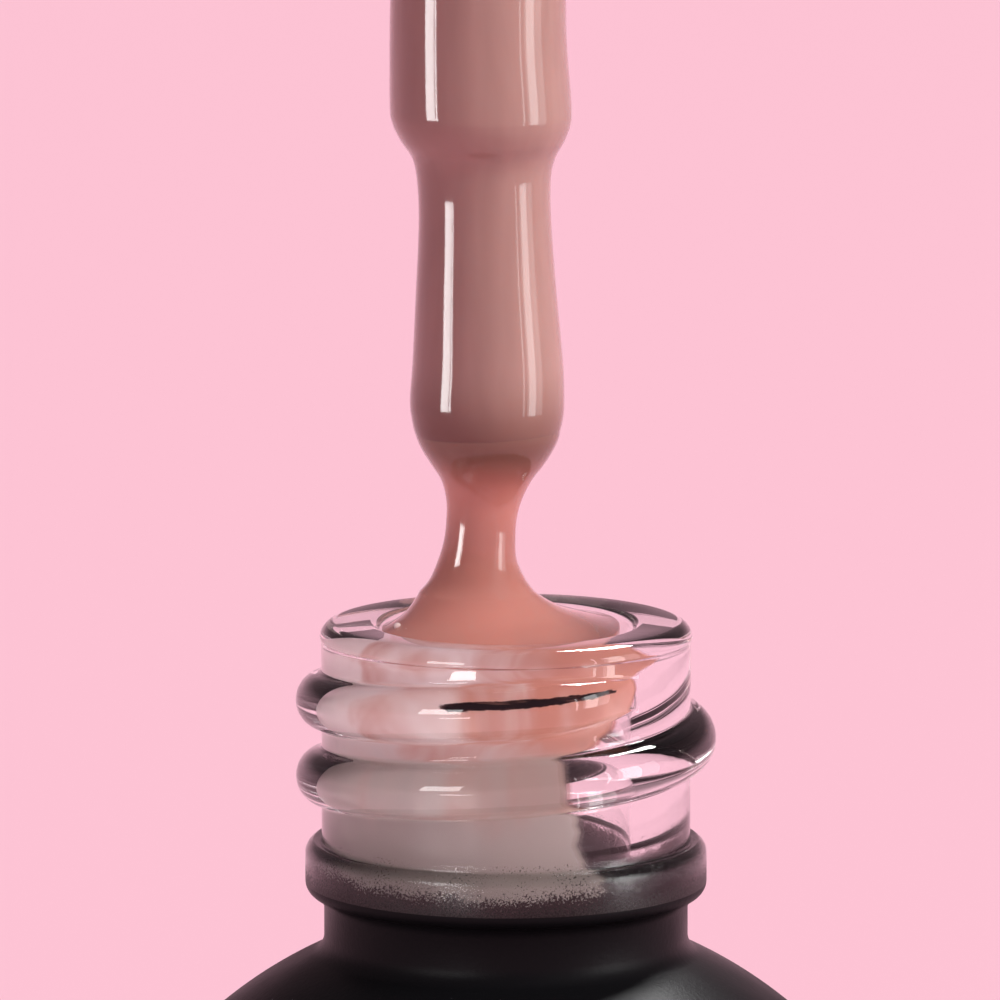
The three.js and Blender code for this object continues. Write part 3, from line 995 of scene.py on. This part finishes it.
def make_staple():
    """A bent wire that anchors the folded tuft."""
    bm = bmesh.new()
    top = RIM + STEM_END_H + TUFT_HELD + 0.95
    path = []
    for k in range(STAPLE_STEPS + 1):
        t = mix(-1, 1, k / STAPLE_STEPS)
        path.append(Vector((BRUSH_X + STAPLE_HALF * t, 0.0, top - 0.5 * abs(t) ** 5)))
    side = Vector((0, STAPLE_WIRE_R, 0))
    rings = [[bm.verts.new(path[0])]]
    for k, point in enumerate(path):
        ahead = path[min(k + 1, STAPLE_STEPS)] - path[max(k - 1, 0)]
        up = ahead.normalized().cross(side)
        ring = []
        for i in range(STAPLE_SIDES):
            a = TAU * i / STAPLE_SIDES
            ring.append(bm.verts.new(point + math.cos(a) * side + math.sin(a) * up))
        rings.append(ring)
    rings.append([bm.verts.new(path[-1])])
    for low, high in zip(rings, rings[1:]):
        join_rings(bm, low, high)
    new_object("staple", bm, [steel], "cap", ["bristle_staple"])


def make_stem():
    bm = bmesh.new()
    end = RIM + STEM_END_H
    plug_top = FLANGE_TOP + 7
    hole_top = end + TUFT_HOLE_DEPTH
    profile = [(0.0, hole_top), (TUFT_HOLE_R - 0.2, hole_top), (TUFT_HOLE_R, hole_top - 0.2)]
    profile += [(TUFT_HOLE_R, end + 0.1), (TUFT_HOLE_R + 0.1, end)]
    profile += arc(STEM_R - 0.3, end + 0.3, 0.3, -90, 0, 6)
    profile += arc(STEM_R + 0.4, FLANGE_BOTTOM - 0.4, 0.4, 180, 90, 6)
    profile += arc(FLANGE_R - 0.15, FLANGE_BOTTOM + 0.15, 0.15, -90, 0, 4)
    profile += arc(FLANGE_R - 0.15, FLANGE_TOP - 0.15, 0.15, 0, 90, 4)
    profile += [(PLUG_R + 0.05, FLANGE_TOP), (PLUG_R, FLANGE_TOP + 0.1)]
    for i in range(4):
        rib = FLANGE_TOP + 1.0 + 1.4 * i
        profile += [(PLUG_R, rib - 0.25), (PLUG_R + 0.07, rib), (PLUG_R, rib + 0.25)]
    profile += arc(PLUG_R - 0.45, plug_top - 0.45, 0.45, 0, 90, 5)
    profile += [(0.0, plug_top)]
    turned(bm, profile, sides=96, x=BRUSH_X)
    new_object("stem", bm, [stem_black], "cap", ["brush_stem"])


# ---- Cap ----


def make_liner():
    bm = bmesh.new()
    hole = STEM_R + 0.42
    edge = LINER_R - 0.08
    top = LINER_Z + LINER_THICK
    profile = [(hole, LINER_Z + 0.06), (hole + 0.06, LINER_Z), (edge, LINER_Z)]
    profile += [(LINER_R, LINER_Z + 0.08), (LINER_R, top - 0.08), (edge, top), (hole, top)]
    turned(bm, profile, sides=128, x=BRUSH_X, closed=True)
    new_object("liner", bm, [foam], "seal", ["cap_liner"])


def make_threaded_cap():
    """The inner cap: its thread, the socket for the stem's plug, a boss, and grip ribs."""
    bm = bmesh.new()
    bottom = LINER_Z - 9.6
    boss_top = DECK_TOP + BOSS_H
    socket_r = PLUG_R + 0.1
    socket_top = DECK_BOTTOM + 7.3
    reach = PITCH / 2
    section = ridge_section(CAP_THREAD_HALF, CAP_THREAD_RISE, CAP_THREAD_FILLET_R, reach, 12)
    low = bottom + 0.25
    high = DECK_BOTTOM - 0.2
    top_angle = THREAD_TOP_ANGLE + CLOSING_TURNS * TAU
    top_z = LINER_Z - THREAD_TOP_DEPTH - PITCH / 2 - CLOSED_GAP
    turns = CAP_THREAD_TURNS
    threaded_wall(bm, CAP_BORE_R, low, high, section, top_angle, top_z, turns, -1, x=BRUSH_X)
    inside = [(CAP_BORE_R, high), (CAP_BORE_R - 0.06, DECK_BOTTOM - 0.05)]
    inside += [(CAP_BORE_R - 0.2, DECK_BOTTOM), (socket_r + 0.1, DECK_BOTTOM)]
    inside += [(socket_r, DECK_BOTTOM + 0.1), (socket_r, socket_top), (0.0, socket_top)]
    turned(bm, inside, x=BRUSH_X)

    def ribs(a, r, z):
        if r < INNER_CAP_R - 0.05:
            return r
        held = smooth((z - bottom - 0.9) / 0.4) * smooth((DECK_TOP - 0.9 - z) / 0.4)
        return r - 0.12 * held * (0.5 - 0.5 * math.cos(a * 64))

    edge = INNER_CAP_R - 0.2
    outside = [(CAP_BORE_R, low), (CAP_BORE_R + 0.25, bottom), (edge, bottom)]
    outside += [(INNER_CAP_R, bottom + 0.2)]
    outside += [(INNER_CAP_R, mix(bottom + 0.6, DECK_TOP - 0.5, i / 30)) for i in range(31)]
    outside += arc(edge, DECK_TOP - 0.2, 0.2, 0, 90, 4)
    outside += [(BOSS_R + 0.3, DECK_TOP), (BOSS_R + 0.05, DECK_TOP + 0.08), (BOSS_R, DECK_TOP + 0.3)]
    outside += arc(BOSS_R - 0.3, boss_top - 0.3, 0.3, 0, 90, 4) + [(0.0, boss_top)]
    turned(bm, outside, x=BRUSH_X, wobble=ribs)
    new_object("threaded_cap", bm, [inner_black], "cap", ["inner_cap"])


def make_cap_shell():
    """The outer cap, with a rounded top edge and a fine groove near its foot."""
    bm = bmesh.new()
    seat = DECK_BOTTOM + 2.05
    groove = CAP_BOTTOM + 1.9
    groove_r = 0.18
    inner_top = CAP_TOP - 1.6
    foot = (CAP_HOLE_R + CAP_CORNER_R, CAP_BOTTOM)

    outside = [foot]
    outside += arc(CAP_FOOT_R - CAP_CORNER_R, CAP_BOTTOM + CAP_CORNER_R, CAP_CORNER_R, -90, 0, 6)
    outside += [(CAP_FOOT_R, groove - 0.22)]
    outside += arc(CAP_FOOT_R, groove, groove_r, -90, -270, 8)
    outside += [(CAP_FOOT_R, groove + 0.22)]
    top_edge = CAP_TOP - CAP_EDGE_R
    for i in range(12):
        t = i / 12
        taper = 0.5 * smooth(t) + 0.5 * t
        outside += [(mix(CAP_FOOT_R, CAP_TOP_R, taper), mix(groove + 0.5, top_edge, t))]
    outside += arc(CAP_TOP_R - CAP_EDGE_R, top_edge, CAP_EDGE_R, 0, 84, 12)
    outside += [(6.0, CAP_TOP - 0.03), (3.0, CAP_TOP - 0.005), (0.0, CAP_TOP)]

    inside = [(0.0, inner_top), (7.4, inner_top), (7.7, inner_top - 0.3), (7.7, seat)]
    inside += [(CAP_HOLE_R, seat), (CAP_HOLE_R, CAP_BOTTOM + CAP_CORNER_R), foot]
    turned(bm, outside, x=BRUSH_X)
    turned(bm, inside, x=BRUSH_X)
    new_object("cap_shell", bm, [cap_black], "cap", ["outer_cap"])


# ---- Camera, light and floor ----

CAMERA_DISTANCE = 0.30
CAMERA_ELEVATION = math.radians(8.7)
CAMERA_LENS = 308.0
CAMERA_AIM = (-0.21, 0.0, RIM + 4.3)
FLOOR_HALF = 6000.0


def make_camera():
    data = bpy.data.cameras.new("camera")
    data.lens = CAMERA_LENS
    data.sensor_width = 36.0
    data.clip_start = 0.01
    data.clip_end = 20.0
    camera = bpy.data.objects.new("camera", data)
    bpy.context.scene.collection.objects.link(camera)
    aim = Vector(CAMERA_AIM) * MM
    away = Vector((0.0, -math.cos(CAMERA_ELEVATION), math.sin(CAMERA_ELEVATION)))
    camera.location = aim + CAMERA_DISTANCE * away
    camera.rotation_euler = (-away).to_track_quat("-Z", "Y").to_euler()
    bpy.context.scene.camera = camera


def light_group(name, names=None, without=()):
    """The pieces some lights are kept to: those in names, or all but those in without."""
    group = bpy.data.collections.new(name)
    for piece in pieces:
        if piece.name not in without and (names is None or piece.name in names):
            group.objects.link(piece)
    return group


def area_light(name, azimuth, distance, height, width, tall, glow, lit, tilt=0.0):
    """A soft rectangular light that faces the neck. It lights the pieces in lit and not the floor.

    azimuth is in degrees to the right of the camera, lengths are in metres, and glow is how bright its
    face is. tilt moves the point it faces up or down.
    """
    data = bpy.data.lights.new(name, "AREA")
    data.shape = "RECTANGLE"
    data.size = width
    data.size_y = tall
    data.energy = glow * math.pi * width * tall
    light = bpy.data.objects.new(name, data)
    bpy.context.scene.collection.objects.link(light)
    a = math.radians(azimuth)
    toward = Vector((math.sin(a), -math.cos(a), 0.0))
    light.location = toward * distance + Vector((0.0, 0.0, height))
    aim = Vector((0.0, 0.0, height + tilt))
    light.rotation_euler = (aim - light.location).to_track_quat("-Z", "Y").to_euler()
    light.visible_camera = False
    light.light_linking.receiver_collection = lit
    return light


def make_lights():
    neck = RIM * MM
    everything = light_group("everything")
    shell = light_group("shell", names=["bottle_shell"])
    neck_names = ["bottle_shell", "strand", "neck_film", "film_bubbles"]
    neck_pieces = light_group("neck_pieces", names=neck_names)
    all_but_glass = light_group("all_but_glass", without=["bottle_shell"])

    # The strips show as bright lines down the coat, the windows as glints on the neck's glass, and the
    # shoulder light as a soft highlight on the shoulder. The softbox and the fill only brighten.
    left = area_light("left_strip", -66, 0.20, 0.081, 0.046, 0.11, 18.0, all_but_glass)
    left_edge = area_light("left_strip_edge", -57, 0.20, 0.081, 0.006, 0.11, 26.0, all_but_glass)
    area_light("right_softbox", 76, 0.22, neck + 0.03, 0.11, 0.14, 2.0, everything)
    right = area_light("right_strip", 71, 0.21, neck + 0.03, 0.046, 0.14, 4.8, everything)
    right_edge = area_light("right_strip_edge", 56, 0.21, neck + 0.03, 0.007, 0.14, 5.5, everything)
    area_light("front_window_low", -27, 0.15, 0.0265, 0.045, 0.006, 14.0, shell)
    area_light("front_window_high", -37, 0.15, 0.085, 0.062, 0.045, 9.0, shell)
    area_light("shoulder_light", 144, 0.10, 0.188, 0.05, 0.05, 64.0, shell, tilt=-0.152)
    fill = area_light("left_fill", -62, 0.20, neck + 0.01, 0.10, 0.10, 3.8, neck_pieces)
    fill.visible_glossy = False
    for reflection in (left, left_edge, right, right_edge):
        reflection.visible_diffuse = False

    data = bpy.data.lights.new("key", "SUN")
    data.energy = 4.0
    data.angle = math.radians(40)
    data.color = (1.0, 0.97, 0.97)
    key = bpy.data.objects.new("key", data)
    bpy.context.scene.collection.objects.link(key)
    key.rotation_euler = Vector((0.9, -0.45, 0.9)).to_track_quat("Z", "Y").to_euler()
    key.visible_glossy = False


def make_world():
    """The pink surroundings: bright at the horizon and darker overhead."""
    world = bpy.data.worlds.new("studio")
    world.use_nodes = True
    tree = world.node_tree
    background = tree.nodes["Background"]
    place = tree.nodes.new("ShaderNodeTexCoord")
    split = tree.nodes.new("ShaderNodeSeparateXYZ")
    ramp = tree.nodes.new("ShaderNodeValToRGB")
    tree.links.new(place.outputs["Generated"], split.inputs["Vector"])
    tree.links.new(split.outputs["Z"], ramp.inputs["Fac"])
    tree.links.new(ramp.outputs["Color"], background.inputs["Color"])
    low, high = ramp.color_ramp.elements
    low.position = 0.03
    low.color = (0.985, 0.553, 0.664, 1.0)
    high.position = 0.7
    high.color = (0.16, 0.115, 0.13, 1.0)
    middle = ramp.color_ramp.elements.new(0.25)
    middle.color = (0.30, 0.18, 0.21, 1.0)
    bpy.context.scene.world = world


def make_floor():
    bm = bmesh.new()
    bmesh.ops.create_grid(bm, x_segments=8, y_segments=8, size=FLOOR_HALF)
    floor = new_object("floor", bm, [floor_card()], None)


make_bottle()
make_film()
make_pool()
make_balls()
make_label()
make_coat()
make_strand()
make_bubbles()
make_bristles()
make_staple()
make_stem()
make_liner()
make_threaded_cap()
make_cap_shell()
make_camera()
make_lights()
make_world()
make_floor()
bpy.context.scene.view_settings.view_transform = "Standard"
